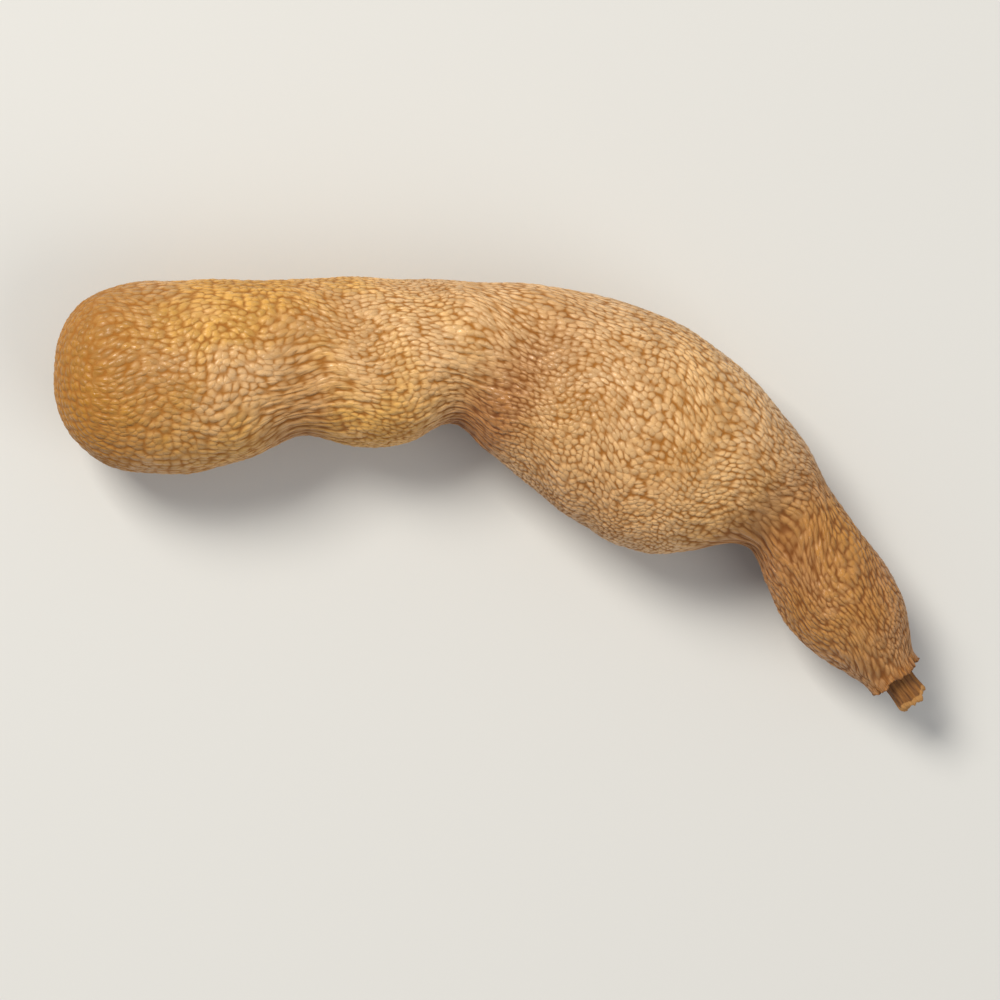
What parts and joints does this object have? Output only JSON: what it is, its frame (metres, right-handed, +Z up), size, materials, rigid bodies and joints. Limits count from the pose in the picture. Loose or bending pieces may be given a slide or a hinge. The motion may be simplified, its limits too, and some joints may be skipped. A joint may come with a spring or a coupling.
{
  "type": "tamarind pod",
  "caption": "Curved lobed tamarind pod with pinched waists, a blunt tip and a broken stalk stub in a torn collar, lying on its side.",
  "frame": {"origin": "on the surface that the pod lies on, under the middle of its outline", "axes": "+X runs along the pod from its blunt tip towards the stalk, +Y is towards the smooth outer back, +Z is up"},
  "size_m": [0.0855, 0.043, 0.0176],
  "materials": {
    "pod_skin": "matt tan skin with a fine net of brown cracks",
    "stalk_wood": "dry fibrous orange-brown stalk"
  },
  "bodies": {
    "root": {"pod": "pod_skin", "stalk_stub": "stalk_wood"}
  },
  "joints": []
}
